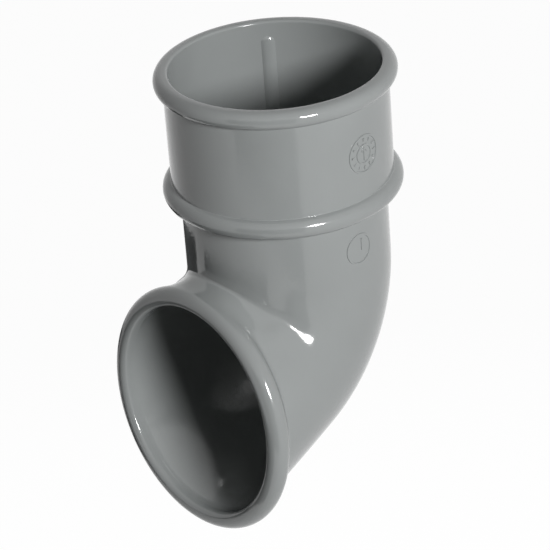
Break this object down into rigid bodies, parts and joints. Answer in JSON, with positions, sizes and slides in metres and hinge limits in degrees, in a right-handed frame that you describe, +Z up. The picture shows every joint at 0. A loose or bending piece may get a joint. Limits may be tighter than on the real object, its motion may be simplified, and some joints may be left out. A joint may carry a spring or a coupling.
{
  "type": "downpipe shoe",
  "caption": "Grey plastic downpipe shoe with a beaded socket for a round pipe and a flared, beaded outlet that throws water forward.",
  "frame": {"origin": "middle of the pipe stop, on the socket's axis, where the pipe's end rests", "axes": "+Z up along the pipe, out through the socket's rim; the outlet faces -Y; X across"},
  "size_m": [0.0862, 0.0904, 0.1553],
  "materials": {
    "grey_pvc": "satin gloss, as moulded"
  },
  "bodies": {
    "root": {"downpipe_shoe": "grey_pvc"}
  },
  "joints": []
}
